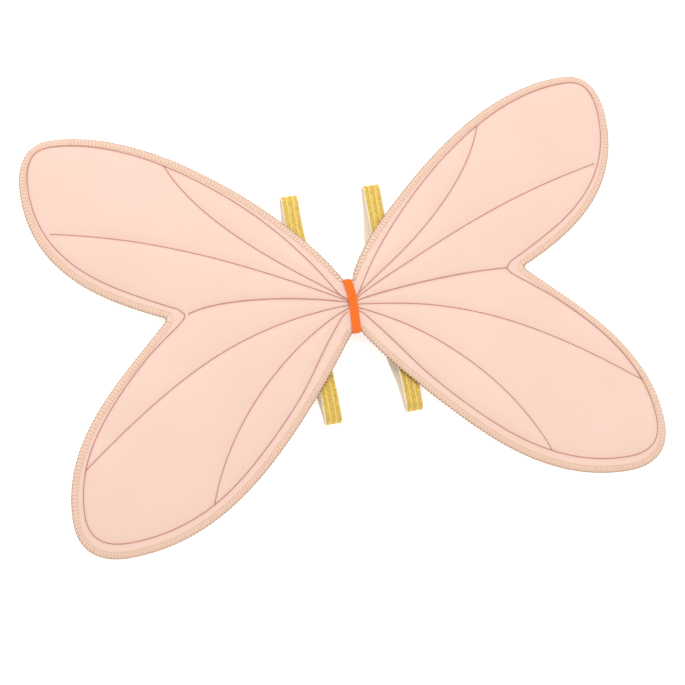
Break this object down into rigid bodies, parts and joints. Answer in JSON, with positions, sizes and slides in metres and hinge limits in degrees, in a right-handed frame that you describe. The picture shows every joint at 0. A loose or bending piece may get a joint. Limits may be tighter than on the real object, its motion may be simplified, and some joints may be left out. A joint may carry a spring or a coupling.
{
  "type": "fairy wings",
  "caption": "Soft quilted butterfly-shaped costume wings with sewn veins, an overlocked edge, an orange centre band and gold elastic arm loops.",
  "frame": {"origin": "on the floor, below the middle of the wings' bounding box", "axes": "the wings lie with their sewn face up: +X towards the wearer's right, +Y towards the neck, +Z away from the wearer's back"},
  "size_m": [0.5114, 0.35, 0.0201],
  "materials": {
    "satin": "satin",
    "wadding": "matte",
    "edge_thread": "satin",
    "rose_thread": "satin",
    "orange_felt": "matte",
    "gold_elastic": "glitter",
    "sewing_thread": "satin"
  },
  "bodies": {
    "waist": {"centre_band": "orange_felt", "waist_front_fabric": "satin", "waist_wadding": "wadding", "waist_back_fabric": "satin"},
    "right_wing": {"right_front_fabric": "satin", "right_wadding": "wadding", "right_back_fabric": "satin", "right_edge_overlock": "edge_thread", "right_outline_stitch": "rose_thread", "right_vein_stitch_1": "rose_thread", "right_vein_stitch_2": "rose_thread", "right_vein_stitch_3": "rose_thread", "right_vein_stitch_4": "rose_thread", "right_vein_stitch_5": "rose_thread", "right_strap_sewn_run": "gold_elastic", "right_strap_neck_fold": "gold_elastic", "right_strap_hip_fold": "gold_elastic", "right_strap_neck_tack": "sewing_thread", "right_strap_hip_tack": "sewing_thread"},
    "right_strap": {"right_strap_arm_run": "gold_elastic"},
    "left_wing": {"left_front_fabric": "satin", "left_wadding": "wadding", "left_back_fabric": "satin", "left_edge_overlock": "edge_thread", "left_outline_stitch": "rose_thread", "left_vein_stitch_1": "rose_thread", "left_vein_stitch_2": "rose_thread", "left_vein_stitch_3": "rose_thread", "left_vein_stitch_4": "rose_thread", "left_vein_stitch_5": "rose_thread", "left_strap_sewn_run": "gold_elastic", "left_strap_neck_fold": "gold_elastic", "left_strap_hip_fold": "gold_elastic", "left_strap_neck_tack": "sewing_thread", "left_strap_hip_tack": "sewing_thread"},
    "left_strap": {"left_strap_arm_run": "gold_elastic"}
  },
  "joints": [
    {"name": "right_wing_fold", "type": "hinge", "parent": "waist", "child": "right_wing", "pos_m": [0.0095, 0, 0.01616], "axis": [0, -1, 0], "range_deg": [-20, 90]},
    {"name": "right_strap_stretch", "type": "slide", "parent": "right_wing", "child": "right_strap", "axis": [0, 0, -1], "range_m": [0, 0.04], "stiffness_N_per_m": 40, "deforming": ["right_strap_neck_fold", "right_strap_hip_fold"]},
    {"name": "left_wing_fold", "type": "hinge", "parent": "waist", "child": "left_wing", "pos_m": [-0.0095, 0, 0.01616], "axis": [0, 1, 0], "range_deg": [-20, 90]},
    {"name": "left_strap_stretch", "type": "slide", "parent": "left_wing", "child": "left_strap", "axis": [0, 0, -1], "range_m": [0, 0.04], "stiffness_N_per_m": 40, "deforming": ["left_strap_neck_fold", "left_strap_hip_fold"]}
  ]
}
